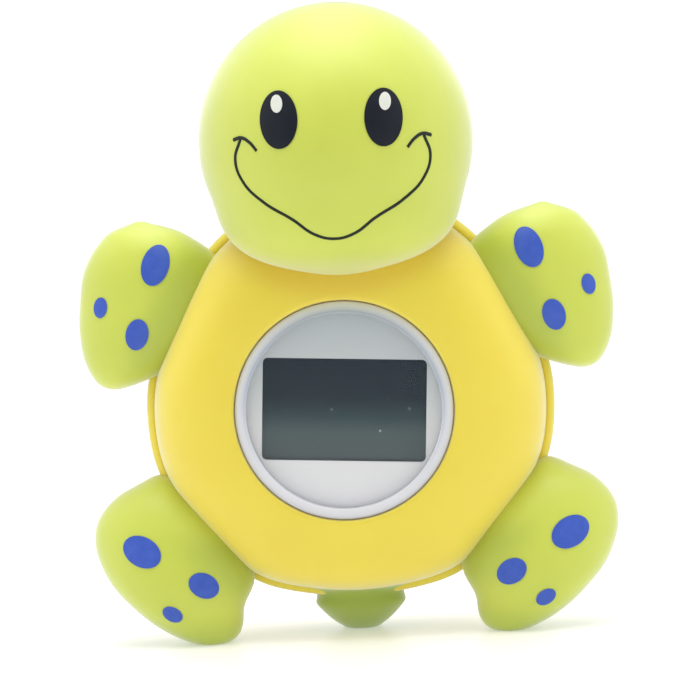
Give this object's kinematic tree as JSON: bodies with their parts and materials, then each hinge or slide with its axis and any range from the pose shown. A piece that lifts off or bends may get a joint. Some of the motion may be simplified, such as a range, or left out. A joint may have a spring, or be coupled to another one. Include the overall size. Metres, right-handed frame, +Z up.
{
  "type": "floating pool thermometer",
  "caption": "Turtle-shaped floating bath and pool thermometer: hollow soft-vinyl body with a pull-out round capsule holding a display, sensor and coin-cell holder with a screw cap.",
  "frame": {"origin": "on the floor that the hind feet and tail stand on, under the centre of the bounding box", "axes": "+Z up through the head, the display and face look along -Y, +X is to the right of someone reading the display"},
  "size_m": [0.0942, 0.0512, 0.1113],
  "materials": {
    "yellow_vinyl": "soft, slightly waxy moulded vinyl",
    "lime_vinyl": "soft, slightly waxy moulded vinyl with painted features",
    "clear_polycarbonate": "polished clear plastic",
    "silicone_rubber": "soft grey silicone rubber",
    "conductive_rubber": "layered conductive rubber",
    "silver_panel": "satin silver printed panel",
    "polarizer_film": "dark polarizing film",
    "display_glass": "thin clear glass",
    "reflector_film": "satin reflecting film",
    "white_abs": "smooth moulded white plastic",
    "circuit_board": "green solder resist",
    "black_epoxy": "black potting resin",
    "nickel_plate": "bright nickel plating",
    "stainless_steel": "smooth stainless steel",
    "thermistor_bead": "glossy resin bead",
    "tinned_wire": "tinned copper wire"
  },
  "bodies": {
    "turtle": {"belly_shell": "yellow_vinyl", "back_shell": "yellow_vinyl", "head": "lime_vinyl", "front_flipper_left": "lime_vinyl", "front_flipper_right": "lime_vinyl", "hind_foot_left": "lime_vinyl", "hind_foot_right": "lime_vinyl", "tail": "lime_vinyl"},
    "capsule": {"lens": "clear_polycarbonate", "lens_seal": "silicone_rubber", "display_panel": "silver_panel", "lcd_polarizer": "polarizer_film", "lcd_front_glass": "display_glass", "lcd_rear_glass": "display_glass", "lcd_reflector": "reflector_film", "lcd_frame": "white_abs", "contact_strip_upper": "conductive_rubber", "contact_strip_lower": "conductive_rubber", "circuit_board": "circuit_board", "chip_blob": "black_epoxy", "quartz_crystal": "nickel_plate", "chip_parts": "black_epoxy", "board_screws": "stainless_steel", "capsule_body": "white_abs", "case_seal": "silicone_rubber", "rear_cover": "white_abs", "case_screws": "stainless_steel", "coin_cell_inner": "stainless_steel", "coin_cell_outer": "stainless_steel", "battery_spring": "nickel_plate", "battery_side_contact": "nickel_plate", "battery_leads": "tinned_wire", "sensor_cap": "stainless_steel", "sensor_seal": "silicone_rubber", "thermistor": "thermistor_bead", "thermistor_leads": "tinned_wire", "water_contacts": "stainless_steel", "water_contact_wires": "tinned_wire"},
    "cap_seal": {"battery_cap_seal": "silicone_rubber"},
    "cap": {"battery_cap": "white_abs"}
  },
  "joints": [
    {"name": "capsule_pull", "type": "slide", "parent": "turtle", "child": "capsule", "axis": [0, -1, 0], "range_m": [0, 0.035]},
    {"name": "battery_cap_lift", "type": "slide", "parent": "capsule", "child": "cap_seal", "axis": [0, 1, 0], "range_m": [0, 0.004]},
    {"name": "battery_cap_turn", "type": "hinge", "parent": "cap_seal", "child": "cap", "pos_m": [-0.00108, 0.0234, 0.03621], "axis": [0, 1, 0], "range_deg": [0, 360]}
  ],
  "couplings": [
    {"joint": "battery_cap_turn", "follows": "battery_cap_lift", "rad_per_m": 1570.8}
  ]
}
